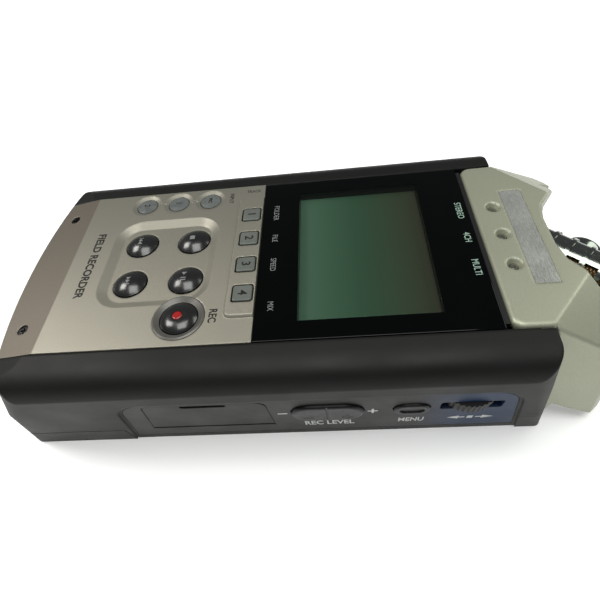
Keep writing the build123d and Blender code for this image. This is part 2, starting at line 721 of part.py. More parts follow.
with BuildPart() as sd_card:
    with BuildSketch(Plane.XY.offset(card_z - 1.05)):
        with BuildLine():
            Polyline((-0.4, -37.0), (30.2, -37.0), (30.2, -13.0), (3.6, -13.0), (-0.4, -17.0), close=True)
        make_face()
    extrude(amount=2.1)
sd_card.part.label = "sd_card"
export_step(sd_card.part, "parts/sd_card.step")

# ---------------------------------------------------------------- left side fittings
def left_pt(y, t, d):
    return left_flank.offset(-d).from_local_coords((-y, t, 0))


with BuildPart() as phones_jack:
    with BuildSketch(left_flank.offset(-panel_recess + 0.1)):
        with Locations((-left_holes["phones"][0], left_holes["phones"][1])):
            Circle(2.9)
    extrude(amount=-2.2)
    with BuildSketch(left_flank.offset(-panel_recess - 2.0)):
        with Locations((-left_holes["phones"][0], left_holes["phones"][1])):
            RectangleRounded(7, 6.4, 0.8)
    extrude(amount=-12)
    with BuildSketch(left_flank.offset(1)):
        with Locations((-left_holes["phones"][0], left_holes["phones"][1])):
            Circle(1.8)
    extrude(amount=-14, mode=Mode.SUBTRACT)
phones_jack.part.label = "phones_jack"
export_step(phones_jack.part, "parts/phones_jack.step")

with BuildPart() as dc_jack:
    with BuildSketch(left_flank.offset(-panel_recess - 0.2)):
        with Locations((-left_holes["dc"][0], left_holes["dc"][1])):
            Circle(3.15)
    extrude(amount=-1.9)
    with BuildSketch(left_flank.offset(-panel_recess - 2.0)):
        with Locations((-left_holes["dc"][0], left_holes["dc"][1])):
            RectangleRounded(9, 9, 0.8)
    extrude(amount=-12)
    with BuildSketch(left_flank.offset(1)):
        with Locations((-left_holes["dc"][0], left_holes["dc"][1])):
            Circle(2.75)
            Circle(0.85, mode=Mode.SUBTRACT)
    extrude(amount=-12, mode=Mode.SUBTRACT)
    with BuildSketch(left_flank.offset(1)):
        with Locations((-left_holes["dc"][0], left_holes["dc"][1])):
            Circle(0.95)
    extrude(amount=-3.2, mode=Mode.SUBTRACT)
dc_jack.part.label = "dc_jack"
export_step(dc_jack.part, "parts/dc_jack.step")

with BuildPart() as usb_socket:
    with BuildSketch(left_flank.offset(-panel_recess - 0.2)):
        with Locations((-left_holes["usb"][0], left_holes["usb"][1])):
            RectangleRounded(7.9, 4.3, 0.8)
    extrude(amount=-9.5)
    with BuildSketch(left_flank.offset(1)):
        with Locations((-left_holes["usb"][0], left_holes["usb"][1])):
            RectangleRounded(7.0, 3.4, 0.5)
            with Locations((0, -0.2)):
                Rectangle(4.6, 0.9, mode=Mode.SUBTRACT)
    extrude(amount=-9.0, mode=Mode.SUBTRACT)
usb_socket.part.label = "usb_socket"
export_step(usb_socket.part, "parts/usb_socket.step")

with BuildPart() as power_switch:
    with BuildSketch(left_flank.offset(-panel_recess - 2.9)):
        with Locations((-left_holes["power"][0], left_holes["power"][1])):
            Rectangle(9.5, 5.6)
    extrude(amount=1.1)
    with BuildSketch(left_flank.offset(-panel_recess - 1.8)):
        with Locations((-left_holes["power"][0], left_holes["power"][1])):
            RectangleRounded(5.6, 3.2, 0.7)
    extrude(amount=1.8 + 0.9)
    with BuildSketch(left_flank.offset(-panel_recess + 0.55)):
        with Locations((-left_holes["power"][0], left_holes["power"][1])):
            with GridLocations(1.3, 0, 3, 1):
                Rectangle(0.5, 6)
    extrude(amount=1, mode=Mode.SUBTRACT)
power_switch.part.label = "power_switch"
export_step(power_switch.part, "parts/power_switch.step")

# ---------------------------------------------------------------- input sockets in the jack end
with BuildPart() as input_jack_shells:
    with BuildSketch(tail_plane.offset(-1.9)):
        with Locations((-jack_x, jack_s), (jack_x, jack_s)):
            Circle(jack_flange_r)
    extrude(amount=2.0)
    with BuildSketch(tail_plane.offset(-1.9)):
        with Locations((-jack_x, jack_s), (jack_x, jack_s)):
            Circle(jack_flange_r - 0.2)
    extrude(amount=-18.0)
    with BuildSketch(tail_plane.offset(1)):
        with Locations((-jack_x, jack_s), (jack_x, jack_s)):
            Circle(xlr_r)
    extrude(amount=-15.5, mode=Mode.SUBTRACT)
    with BuildSketch(tail_plane.offset(1)):
        with Locations((-jack_x, jack_s), (jack_x, jack_s)):
            Circle(trs_r)
    extrude(amount=-25, mode=Mode.SUBTRACT)
input_jack_shells.part.label = "input_jack_shells"
export_step(input_jack_shells.part, "parts/input_jack_shells.step")

with BuildPart() as input_jack_inserts:
    with BuildSketch(tail_plane.offset(-14.5)):
        with Locations((-jack_x, jack_s), (jack_x, jack_s)):
            Circle(xlr_core_r)
            Circle(trs_r, mode=Mode.SUBTRACT)
            with Locations((0, -5.4), (-5.4, 1.6), (5.4, 1.6)):
                Circle(1.25, mode=Mode.SUBTRACT)
    extrude(amount=13.6)
input_jack_inserts.part.label = "input_jack_inserts"
export_step(input_jack_inserts.part, "parts/input_jack_inserts.step")

# ---------------------------------------------------------------- microphone head
droop = 0.6            # fall of each wing top, mm per mm beyond the crease
crease_n = (0.66, 0.75)
wing_top = [(25.6, 44.0), (27.5, 56.0), (28.4, 60.0), (25.4, 62.6), (19.8, 62.9), (8.7, 54.9), (4.0, 54.0)]
wing_low = [(29.6, 44.0), (30.2, 57.0), (30.2, 63.5), (27.0, 67.2), (22.4, 67.4), (9.5, 57.5), (4.0, 56.0)]


def mirrored(pts):
    return pts + [(-x, y) for x, y in reversed(pts)]


def head_outer():
    """Silver block: plug inside the case mouth, two wings beyond it under one folded sheet."""
    with BuildPart() as blk:
        with BuildSketch(Plane.XY.offset(4.2)):
            with Locations((0, (44.9 + 50) / 2)):
                Rectangle(2 * 25.6, 5.1)
        extrude(amount=33.1 - 4.2)
        with BuildPart(mode=Mode.PRIVATE) as wings:
            with BuildSketch(Plane.XY.offset(0)):
                with BuildLine():
                    Polyline(*mirrored(wing_low), close=True)
                make_face()
                fillet([v for v in vertices() if abs(v.X) > 21 and v.Y > 60], 1.5)
            with BuildSketch(Plane.XY.offset(36)):
                with BuildLine():
                    Polyline(*mirrored(wing_top), close=True)
                make_face()
                fillet([v for v in vertices() if abs(v.X) > 19 and v.Y > 58], 1.5)
            loft(ruled=True)
            with BuildSketch(Plane.YZ):
                with BuildLine():
                    Polyline((nose_y0 + 0.35, 0), (nose_y0 + 0.35 + nose_rise * 40, 40), (80, 40), (80, 0), close=True)
                make_face()
            extrude(amount=50, both=True, mode=Mode.INTERSECT)
        add(wings.part)
        with BuildSketch(Plane.YZ):
            with BuildLine():
                Polyline((30, 40), (30, 32.9), (44.8, 32.9), (44.8, 4.2), (51.8, 4.2), (53.4, 8.2), (66.2, 2.0),
                         (67.6, 3.6), (67.6, 40), (50, 40), close=True)
            make_face()
        extrude(amount=50, both=True, mode=Mode.INTERSECT)
        # flat top
        with BuildSketch(Plane.XY.offset(face_z)):
            Rectangle(120, 200)
        extrude(amount=20, mode=Mode.SUBTRACT)
        # ledge towards the window, one sheet with the wing tops
        with BuildPart(mode=Mode.PRIVATE) as ledge:
            with BuildSketch(Plane.XY.offset(face_z - face_t)):
                with BuildLine():
                    Polyline(*mirrored([(25.6, 39.4), (25.8, 49.6), (4.0, 53.5)]), close=True)
                make_face()
                fillet([v for v in vertices() if v.Y < 40], 2.4)
            extrude(amount=face_t)
            fillet([e for e in ledge.faces().sort_by(Axis.Z)[-1].edges() if e.center().Y < 45], 1.1)
        add(ledge.part)
        # drooping tops of the wings
        for sx in (1, -1):
            k = math.sqrt((crease_n[0] * droop) ** 2 + (crease_n[1] * droop) ** 2 + 1)
            top_cut = Plane(origin=(sx * 25.8, 46.6, face_z), x_dir=(sx * crease_n[1], -crease_n[0], 0),
                            z_dir=(sx * crease_n[0] * droop / k, crease_n[1] * droop / k, 1 / k))
            with BuildSketch(top_cut):
                Rectangle(90, 90)
            extrude(amount=30, mode=Mode.SUBTRACT)
        # rounded rims of the wing tops
        tops = [f for f in blk.faces() if f.center().Z > 25 and 0.7 < f.normal_at().Z < 0.95 and f.center().Y > 50]
        fillet([e for f in tops for e in f.edges() if e.center().Y > 50 and (e.center().Y > 57.5 or abs(e.center().X) > 26)],
               0.9)
    return blk.part


with BuildPart() as head_housing:
    add(head_outer())
    # throat between the wings, under the overhanging lip
    with BuildSketch(Plane.XY.offset(0)):
        with BuildLine():
            Polyline((-17.6, 47.6), (17.6, 47.6), (18.4, 56.0), (24.4, 64.5), (25.0, 90), (-25.0, 90), (-24.4, 64.5),
                     (-18.4, 56.0), close=True)
        make_face()
    extrude(amount=31.3, mode=Mode.SUBTRACT)
    # lamp holes, countersunk
    with BuildSketch(Plane.XY.offset(25)):
        with Locations(*[(x, led_y) for x in led_x]):
            Circle(1.0)
    extrude(amount=20, mode=Mode.SUBTRACT)
    with BuildPart(mode=Mode.PRIVATE) as sinks:
        with Locations(*[(x, led_y, face_z - 0.6) for x in led_x]):
            Cone(1.0, 1.75, 1.2)
    add(sinks.part, mode=Mode.SUBTRACT)
    # name plate pocket
    with BuildSketch(Plane.XY.offset(face_z - 0.45)):
        with Locations((0, (name_y0 + name_y1) / 2)):
            Rectangle(2 * name_half_x + 0.15, name_y1 - name_y0 + 0.15)
    extrude(amount=3, mode=Mode.SUBTRACT)
head_housing.part.label = "head_housing"
export_step(head_housing.part, "parts/head_housing.step")

with BuildPart() as head_rear_cover:
    with BuildSketch(Plane.XY.offset(2.45)):
        with Locations((0, 48.2)):
            Rectangle(2 * 25.4, 6.4)
    extrude(amount=1.7)
head_rear_cover.part.label = "head_rear_cover"
export_step(head_rear_cover.part, "parts/head_rear_cover.step")

with BuildPart() as nameplate:
    with BuildSketch(Plane.XY.offset(face_z - 0.45)):
        with Locations((0, (name_y0 + name_y1) / 2)):
            Rectangle(2 * name_half_x, name_y1 - name_y0)
    extrude(amount=0.4)
nameplate.part.label = "nameplate"
export_step(nameplate.part, "parts/nameplate.step")

with BuildPart() as mode_led_lenses:
    with BuildSketch(Plane.XY.offset(32.0)):
        with Locations(*[(x, led_y) for x in led_x]):
            Circle(0.95)
    extrude(amount=2.1)
    fillet(mode_led_lenses.edges().group_by(Axis.Z)[-1], 0.4)
mode_led_lenses.part.label = "mode_led_lenses"
export_step(mode_led_lenses.part, "parts/mode_led_lenses.step")


# microphones: each capsule turns on a socket axis that lies 52.5 degrees off the centreline
def mic_frames(side):
    """Socket plane and capsule plane at the joint face; z_dir points outward along each axis."""
    sx = 1 if side == "left" else -1
    o = (sx * mic_joint[0], mic_joint[1], mic_z[side])
    a = math.radians(mic_socket_deg)
    b = math.radians(mic_socket_deg - mic_tilt_deg)
    socket = Plane(origin=o, x_dir=(0, 0, 1), z_dir=(sx * math.sin(a), math.cos(a), 0))
    capsule = Plane(origin=o, x_dir=(0, 0, 1), z_dir=(sx * math.sin(b), math.cos(b), 0))
    return socket, capsule


with BuildPart() as mic_collars:
    for side in ("left", "right"):
        socket, capsule = mic_frames(side)
        with BuildSketch(socket.offset(-0.1)):
            Circle(mic_r + 0.35)
        extrude(amount=-12)
        with BuildSketch(socket.offset(-0.1)):
            Circle(2.6)
        extrude(amount=-4.2, mode=Mode.SUBTRACT)
    with BuildSketch(Plane.XY.offset(0)):
        with Locations((0, 47.6 + 10)):
            Rectangle(35.1, 20)
    extrude(amount=40, mode=Mode.INTERSECT)
mic_collars.part.label = "mic_collars"
export_step(mic_collars.part, "parts/mic_collars.step")

rows = 6
pitch = 4.2
for side in ("left", "right"):
    socket, capsule = mic_frames(side)
    up = 1 if side == "left" else -1
    with BuildPart() as barrel:
        # spigot in the collar and turning flange
        with BuildSketch(socket.offset(-3.8)):
            Circle(2.55)
        extrude(amount=4.6)
        with BuildSketch(socket.offset(0.1)):
            Circle(mic_r + 0.2)
        extrude(amount=1.2)
        # capsule tube with end cap
        with BuildSketch(capsule.offset(-1.0)):
            Circle(mic_r)
        extrude(amount=mic_len + 1.0)
        fillet(barrel.edges().filter_by(GeomType.CIRCLE).sort_by(Axis(capsule.origin, capsule.z_dir))[-1], 2.0)
        # ring ribs that stand proud
        for k in range(rows + 1):
            with BuildSketch(capsule.offset(2.0 + k * pitch - 0.45)):
                Circle(mic_r + 0.3)
                Circle(mic_r - 1.0, mode=Mode.SUBTRACT)
            extrude(amount=0.9)
        # behind the joint face only the spigot remains
        with BuildSketch(socket.offset(0.1)):
            Circle(20)
            Circle(2.55, mode=Mode.SUBTRACT)
        extrude(amount=-10, mode=Mode.SUBTRACT)
        # hollow
        with BuildSketch(capsule.offset(2.2)):
            Circle(mic_r - 0.9)
        extrude(amount=mic_len - 2.2 - 1.1, mode=Mode.SUBTRACT)
        # windows round the tube, none along the back rib
        for k in range(rows):
            for j in range(8):
                if j == 0:
                    continue
                spin = j * 45.0
                wp = Plane(origin=capsule.from_local_coords((0, 0, 2.0 + (k + 0.5) * pitch)),
                           x_dir=capsule.z_dir, z_dir=(capsule.x_dir * math.cos(math.radians(spin)) * up
                                                       + capsule.y_dir * math.sin(math.radians(spin))))
                with BuildSketch(wp.offset(mic_r - 2.2)):
                    Rectangle(3.0, 3.3)
                extrude(amount=4, mode=Mode.SUBTRACT)
    barrel.part.label = "mic_barrel_" + side
    export_step(barrel.part, "parts/mic_barrel_" + side + ".step")

    with BuildPart() as mesh:
        with BuildSketch(capsule.offset(2.25)):
            Circle(mic_r - 0.95)
            Circle(mic_r - 1.25, mode=Mode.SUBTRACT)
        extrude(amount=mic_len - 2.25 - 1.2)
    mesh.part.label = "mic_mesh_" + side
    export_step(mesh.part, "parts/mic_mesh_" + side + ".step")

    with BuildPart() as element:
        with BuildSketch(capsule.offset(12)):
            Circle(mic_r - 1.5)
        extrude(amount=12)
        with BuildSketch(capsule.offset(2.2)):
            Circle(2.2)
        extrude(amount=9.9)
    element.part.label = "mic_element_" + side
    export_step(element.part, "parts/mic_element_" + side + ".step")

# ---------------------------------------------------------------- inside the case
with BuildPart() as main_board:
    with BuildSketch(Plane.XY.offset(21.4)):
        with Locations((0, -4.0)):
            RectangleRounded(54, 86, 1)
        with Locations(*boss_xy):
            Circle(3.0, mode=Mode.SUBTRACT)
        with Locations((dial_plane.origin.X, dial_plane.origin.Y)):
            Circle(dial_R + 1.2, mode=Mode.SUBTRACT)
    extrude(amount=1.6)
main_board.part.label = "main_board"
export_step(main_board.part, "parts/main_board.step")

with BuildPart() as battery_tray:
    with BuildSketch(Plane.XY.offset(3.5)):
        with Locations((0, batt_y0 + batt_len / 2 + 0.2)):
            RectangleRounded(34.4, batt_len + 5.0, 1)
    extrude(amount=13.8)
    with BuildSketch(Plane.XY.offset(2)):
        with Locations((0, batt_y0 + batt_len / 2 + 0.2)):
            Rectangle(30.6, batt_len + 2.4)
    extrude(amount=14.6, mode=Mode.SUBTRACT)
    # rib between the two cells
    with BuildSketch(Plane.XY.offset(15.0)):
        with Locations((0, batt_y0 + batt_len / 2 + 0.2)):
            Rectangle(0.6, batt_len + 2.6)
    extrude(amount=2.0)
battery_tray.part.label = "battery_tray"
export_step(battery_tray.part, "parts/battery_tray.step")

with BuildPart() as batteries:
    for x, y0 in ((-7.55, batt_y0 + 0.4), (7.55, batt_y0 + 0.4)):
        with BuildSketch(Plane.XZ.offset(-y0)):
            with Locations((x, 9.4)):
                Circle(batt_r)
        extrude(amount=-(batt_len - 1.0))
    with BuildSketch(Plane.XZ.offset(-(batt_y0 + 0.4 + batt_len - 1.0))):
        with Locations((-7.55, 9.4)):
            Circle(2.7)
    extrude(amount=-1.0)
    with BuildSketch(Plane.XZ.offset(-(batt_y0 + 0.4))):
        with Locations((7.55, 9.4)):
            Circle(2.7)
    extrude(amount=1.0)
batteries.part.label = "batteries"
export_step(batteries.part, "parts/batteries.step")

with BuildPart() as speaker:
    with BuildSketch(Plane.XY.offset(2.1)):
        with Locations(speaker_c):
            Circle(8.2)
    extrude(amount=1.4)
    with BuildSketch(Plane.XY.offset(3.5)):
        with Locations(speaker_c):
            Circle(6.0)
    extrude(amount=3.0)
speaker.part.label = "speaker"
export_step(speaker.part, "parts/speaker.step")

with BuildPart() as tripod_insert:
    with BuildSketch(Plane.XY.offset(0.05)):
        with Locations((0, tripod_y)):
            Circle(4.7)
            Circle(3.175, mode=Mode.SUBTRACT)
    extrude(amount=7.0)
tripod_insert.part.label = "tripod_insert"
export_step(tripod_insert.part, "parts/tripod_insert.step")

# ---------------------------------------------------------------- screws
with BuildPart() as face_screws:
    for x in (-18.6, 18.6):
        with BuildSketch(Plane.XY.offset(30.5)):
            with Locations((x, -66.2)):
                Circle(1.25)
        extrude(amount=3.2)
        with BuildSketch(Plane.XY.offset(33.35)):
            with Locations((x, -66.2)):
                Rectangle(1.7, 0.4)
                Rectangle(0.4, 1.7)
        extrude(amount=1, mode=Mode.SUBTRACT)
face_screws.part.label = "face_screws"
export_step(face_screws.part, "parts/face_screws.step")

with BuildPart() as rear_screws:
    with BuildSketch(Plane.XY.offset(1.0)):
        with Locations(*boss_xy):
            Circle(2.15)
    extrude(amount=1.35)
    with BuildSketch(Plane.XY.offset(2.3)):
        with Locations(*boss_xy):
            Circle(0.95)
    extrude(amount=11.0)
    with BuildSketch(Plane.XY.offset(0.5)):
        with Locations(*boss_xy):
            Rectangle(2.6, 0.5)
            Rectangle(0.5, 2.6)
    extrude(amount=1.2, mode=Mode.SUBTRACT)
rear_screws.part.label = "rear_screws"
export_step(rear_screws.part, "parts/rear_screws.step")

# overall size, for a check on the origin under the middle of the length
everything = [outer, head_housing.part, barrel.part]
print("y", min(p.bounding_box().min.Y for p in everything), max(p.bounding_box().max.Y for p in everything),
      "door", battery_door.part.bounding_box().min.Y)
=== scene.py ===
import bpy, bmesh, math
from mathutils import Vector, Matrix


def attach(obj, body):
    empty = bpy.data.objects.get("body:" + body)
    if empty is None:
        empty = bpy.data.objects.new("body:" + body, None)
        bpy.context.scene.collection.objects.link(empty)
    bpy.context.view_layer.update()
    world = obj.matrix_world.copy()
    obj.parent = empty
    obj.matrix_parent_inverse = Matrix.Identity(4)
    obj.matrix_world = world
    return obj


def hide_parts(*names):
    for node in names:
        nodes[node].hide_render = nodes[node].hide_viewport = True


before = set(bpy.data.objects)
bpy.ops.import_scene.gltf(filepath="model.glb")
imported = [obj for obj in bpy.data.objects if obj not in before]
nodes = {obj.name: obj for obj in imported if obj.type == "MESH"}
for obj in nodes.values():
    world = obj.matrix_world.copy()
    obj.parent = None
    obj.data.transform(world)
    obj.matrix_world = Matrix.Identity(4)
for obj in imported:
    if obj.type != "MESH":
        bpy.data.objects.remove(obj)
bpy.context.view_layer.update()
scene = bpy.context.scene
MM = 0.001


# ------------------------------------------------------------------ materials
def lin(c):
    """sRGB 0-255 to linear."""
    out = []
    for v in c:
        v = v / 255.0
        out.append(v / 12.92 if v <= 0.04045 else ((v + 0.055) / 1.055) ** 2.4)
    return (out[0], out[1], out[2], 1.0)


class Mat:
    """A principled material with grain, mottling and worn edges, all procedural."""

    def __init__(self, name, base, rough=0.45, metallic=0.0, spec=0.5, coat=0.0, coat_rough=0.05):
        self.m = bpy.data.materials.new(name)
        self.m.use_nodes = True
        self.nt = self.m.node_tree
        self.nt.nodes.clear()
        self.out = self.nt.nodes.new("ShaderNodeOutputMaterial")
        self.p = self.nt.nodes.new("ShaderNodeBsdfPrincipled")
        self.nt.links.new(self.p.outputs["BSDF"], self.out.inputs["Surface"])
        self.p.inputs["Base Color"].default_value = base
        self.p.inputs["Roughness"].default_value = rough
        self.p.inputs["Metallic"].default_value = metallic
        self.p.inputs["Specular IOR Level"].default_value = spec
        self.p.inputs["Coat Weight"].default_value = coat
        self.p.inputs["Coat Roughness"].default_value = coat_rough
        self.base = base
        self.rough = rough
        self.tc = self.nt.nodes.new("ShaderNodeTexCoord")
        self.color = None
        self.height = None

    def link(self, a, b):
        self.nt.links.new(a, b)

    def noise(self, scale, detail=3.0, rough=0.55, stretch=None):
        n = self.nt.nodes.new("ShaderNodeTexNoise")
        n.inputs["Scale"].default_value = scale
        n.inputs["Detail"].default_value = detail
        n.inputs["Roughness"].default_value = rough
        if stretch:
            mp = self.nt.nodes.new("ShaderNodeMapping")
            mp.inputs["Scale"].default_value = stretch
            self.link(self.tc.outputs["Object"], mp.inputs["Vector"])
            self.link(mp.outputs["Vector"], n.inputs["Vector"])
        else:
            self.link(self.tc.outputs["Object"], n.inputs["Vector"])
        return n.outputs["Fac"]

    def ramp(self, fac, stops):
        r = self.nt.nodes.new("ShaderNodeValToRGB")
        e = r.color_ramp.elements
        e[0].position, e[0].color = stops[0]
        e[1].position, e[1].color = stops[-1]
        for pos, col in stops[1:-1]:
            k = e.new(pos)
            k.color = col
        self.link(fac, r.inputs["Fac"])
        return r.outputs["Color"]

    def maprange(self, fac, a, b, c, d):
        r = self.nt.nodes.new("ShaderNodeMapRange")
        r.inputs["From Min"].default_value = a
        r.inputs["From Max"].default_value = b
        r.inputs["To Min"].default_value = c
        r.inputs["To Max"].default_value = d
        self.link(fac, r.inputs["Value"])
        return r.outputs["Result"]

    def mix(self, fac, a, b, mode="MIX"):
        x = self.nt.nodes.new("ShaderNodeMix")
        x.data_type = "RGBA"
        x.blend_type = mode
        for sock, v in ((x.inputs[0], fac), (x.inputs[6], a), (x.inputs[7], b)):
            if hasattr(v, "is_output"):
                self.link(v, sock)
            else:
                sock.default_value = v
        return x.outputs[2]

    def mottle(self, scale, amp, detail=4.0, stretch=None):
        """Slow colour variation of relative size amp about the base colour."""
        f = self.noise(scale, detail, stretch=stretch)
        lo = tuple(c * (1 - amp) for c in self.base[:3]) + (1,)
        hi = tuple(min(1, c * (1 + amp)) for c in self.base[:3]) + (1,)
        col = self.ramp(f, [(0.3, lo), (0.7, hi)])
        if self.color is not None:
            col = self.mix(0.5, self.color, col)
        self.color = col
        return self

    def speck(self, scale, amp, width=0.12, dark=True):
        """Fine grain laid over the colour."""
        f = self.noise(scale, 2.0, 0.6)
        k = (1 - amp) if dark else (1 + amp)
        col = self.ramp(f, [(0.5 - width, (k, k, k, 1)), (0.5 + width, (1, 1, 1, 1))])
        src = self.color if self.color is not None else self.base
        self.color = self.mix(1.0, src, col, "MULTIPLY")
        return self

    def edges(self, color, radius=0.35 * MM, lo=0.0, hi=0.25, strength=0.5, breakup=900.0):
        """Worn or polished edges, from the difference between the rounded and the true normal."""
        bv = self.nt.nodes.new("ShaderNodeBevel")
        bv.samples = 4
        bv.inputs["Radius"].default_value = radius
        geo = self.nt.nodes.new("ShaderNodeNewGeometry")
        dot = self.nt.nodes.new("ShaderNodeVectorMath")
        dot.operation = "DOT_PRODUCT"
        self.link(bv.outputs["Normal"], dot.inputs[0])
        self.link(geo.outputs["Normal"], dot.inputs[1])
        wear = self.maprange(dot.outputs["Value"], 1.0 - lo, 1.0 - hi, 0.0, strength)
        brk = self.maprange(self.noise(breakup, 3.0), 0.35, 0.65, 0.35, 1.0)
        mul = self.nt.nodes.new("ShaderNodeMath")
        mul.operation = "MULTIPLY"
        mul.use_clamp = True
        self.link(wear, mul.inputs[0])
        self.link(brk, mul.inputs[1])
        src = self.color if self.color is not None else self.base
        self.color = self.mix(mul.outputs[0], src, color)
        return self

    def bump(self, scale, strength=0.15, dist=0.02 * MM, detail=3.0, stretch=None):
        f = self.noise(scale, detail, stretch=stretch)
        b = self.nt.nodes.new("ShaderNodeBump")
        b.inputs["Strength"].default_value = strength
        b.inputs["Distance"].default_value = dist
        self.link(f, b.inputs["Height"])
        if self.height is not None:
            self.link(self.height, b.inputs["Normal"])
        else:
            self.first_bump = b
        self.height = b.outputs["Normal"]
        return self

    def rough_var(self, scale, amp, detail=4.0, stretch=None):
        f = self.noise(scale, detail, stretch=stretch)
        r = self.maprange(f, 0.3, 0.7, max(0.02, self.rough - amp), min(1, self.rough + amp))
        self.link(r, self.p.inputs["Roughness"])
        return self

    def soften(self, radius=0.5 * MM):
        """Small radius on every edge, carried in the shading normal."""
        bv = self.nt.nodes.new("ShaderNodeBevel")
        bv.samples = 6
        bv.inputs["Radius"].default_value = radius
        if self.height is None:
            self.height = bv.outputs["Normal"]
        else:
            n = self.first_bump
            self.link(bv.outputs["Normal"], n.inputs["Normal"])
        return self

    def done(self):
        if self.color is not None:
            self.link(self.color, self.p.inputs["Base Color"])
        if self.height is not None:
            self.link(self.height, self.p.inputs["Normal"])
        return self.m


def setmat(obj, m):
    obj.data.materials.clear()
    obj.data.materials.append(m)


face_paint = (Mat("silver_paint", lin((150, 146, 134)), rough=0.44, metallic=0.55, spec=0.35)
              .mottle(35, 0.05).speck(4200, 0.15, 0.22).rough_var(2600, 0.07).bump(4200, 0.25, 0.012 * MM))
# painted reflection: the silver is painted darker towards the far (-x) side and browner on the falling strip, standing
# in for the dark surroundings the paint reflects
f_sep = face_paint.nt.nodes.new("ShaderNodeSeparateXYZ")
face_paint.link(face_paint.tc.outputs["Object"], f_sep.inputs["Vector"])
far_side_painted_reflection = face_paint.maprange(f_sep.outputs["X"], -0.024, 0.012, 0.45, 0.0)
face_paint.color = face_paint.mix(far_side_painted_reflection, face_paint.color, lin((96, 97, 90)))
strip_painted_reflection = face_paint.maprange(f_sep.outputs["Y"], -0.0609, -0.0605, 0.62, 0.0)
face_paint.color = face_paint.mix(strip_painted_reflection, face_paint.color, lin((92, 80, 71)))
silver = (face_paint.edges(lin((206, 203, 190)), 0.3 * MM, 0.01, 0.3, 0.6).soften(0.45 * MM)).done()
silver_head = (Mat("silver_paint_head", lin((162, 164, 145)), rough=0.42, metallic=0.55, spec=0.4)
               .mottle(35, 0.05).speck(4200, 0.15, 0.22).rough_var(2600, 0.07).bump(4200, 0.25, 0.012 * MM)
               .edges(lin((204, 203, 188)), 0.3 * MM, 0.01, 0.3, 0.6).soften(0.9 * MM)).done()
black = (Mat("case_black", lin((18, 18, 17)), rough=0.52, spec=0.2)
         .mottle(22, 0.14).speck(3800, 0.20, 0.2, dark=True).rough_var(60, 0.06).bump(3000, 0.3, 0.02 * MM)
         .edges(lin((52, 51, 48)), 0.3 * MM, 0.01, 0.35, 0.3).soften(0.8 * MM)).done()
rear_black = (Mat("rear_black", lin((30, 28, 25)), rough=0.55, spec=0.26)
              .mottle(30, 0.14).speck(2600, 0.2, 0.2).rough_var(80, 0.07).bump(1900, 0.45, 0.03 * MM)
              .edges(lin((66, 62, 57)), 0.3 * MM, 0.01, 0.35, 0.3).soften(0.6 * MM)).done()
door_black = (Mat("door_black", lin((30, 28, 25)), rough=0.5, spec=0.26)
              .mottle(60, 0.12).speck(3600, 0.15, 0.2).rough_var(90, 0.06).bump(2600, 0.25, 0.015 * MM)
              .edges(lin((70, 67, 62)), 0.25 * MM, 0.01, 0.35, 0.4).soften(0.35 * MM)).done()
panel = (Mat("panel_grey", lin((32, 30, 27)), rough=0.48, spec=0.26)
         .mottle(26, 0.12).speck(3600, 0.15, 0.2).rough_var(90, 0.06).bump(2600, 0.25, 0.015 * MM))
# painted reflection: a bluish cast painted on the dial end of the right panel
p_sep = panel.nt.nodes.new("ShaderNodeSeparateXYZ")
panel.link(panel.tc.outputs["Object"], p_sep.inputs["Vector"])
p_y = panel.maprange(p_sep.outputs["Y"], 0.021, 0.031, 0.0, 1.0)
p_x = panel.maprange(p_sep.outputs["X"], 0.0, 0.002, 0.0, 0.8)
dial_end_painted_reflection = panel.nt.nodes.new("ShaderNodeMath")
dial_end_painted_reflection.operation = "MULTIPLY"
dial_end_painted_reflection.use_clamp = True
panel.link(p_y, dial_end_painted_reflection.inputs[0])
panel.link(p_x, dial_end_painted_reflection.inputs[1])
panel.color = panel.mix(dial_end_painted_reflection.outputs[0], panel.color, lin((8, 42, 78)))
panel_mat = panel.edges(lin((70, 68, 64)), 0.25 * MM, 0.01, 0.35, 0.4).soften(0.35 * MM).done()
gloss_black = (Mat("window_black", lin((2, 3, 3)), rough=0.06, spec=0.08, coat=0.1, coat_rough=0.03)
               .mottle(120, 0.2).bump(260, 0.02, 0.01 * MM)).done()
key_black = (Mat("key_black", lin((24, 25, 24)), rough=0.24, spec=0.46, coat=0.25, coat_rough=0.12)
             .mottle(160, 0.15).speck(5200, 0.15, 0.2).rough_var(700, 0.05).bump(3800, 0.12, 0.01 * MM)
             .edges(lin((46, 46, 46)), 0.25 * MM, 0.01, 0.4, 0.25)).done()
rocker_black = (Mat("rocker_black", lin((13, 13, 13)), rough=0.4, spec=0.3)
                .mottle(160, 0.15).speck(5200, 0.15, 0.2).rough_var(700, 0.05).bump(3800, 0.15, 0.01 * MM)
                .edges(lin((60, 58, 55)), 0.25 * MM, 0.01, 0.4, 0.4).soften(0.3 * MM)).done()
key_grey = (Mat("key_grey", lin((92, 95, 91)), rough=0.34, spec=0.35, coat=0.15, coat_rough=0.2)
            .mottle(240, 0.10).speck(5200, 0.12, 0.2).rough_var(600, 0.05).bump(3000, 0.15, 0.01 * MM)
            .edges(lin((130, 132, 130)), 0.2 * MM, 0.01, 0.4, 0.4)).done()
key_smoke = (Mat("key_smoke", lin((92, 96, 95)), rough=0.26, spec=0.4, coat=0.4, coat_rough=0.1)
             .mottle(700, 0.18).speck(3200, 0.2, 0.25).rough_var(600, 0.05).bump(1800, 0.2, 0.02 * MM)
             .edges(lin((150, 154, 152)), 0.2 * MM, 0.01, 0.4, 0.4)).done()
ring_grey = (Mat("ring_grey", lin((88, 86, 82)), rough=0.36, metallic=0.25, spec=0.4)
             .mottle(300, 0.1).speck(5000, 0.15, 0.2).bump(3600, 0.2, 0.01 * MM)
             .edges(lin((170, 168, 160)), 0.25 * MM, 0.01, 0.4, 0.7)).done()
rubber = (Mat("rubber", lin((40, 40, 42)), rough=0.75, spec=0.3).mottle(200, 0.1).bump(2600, 0.3, 0.02 * MM)).done()
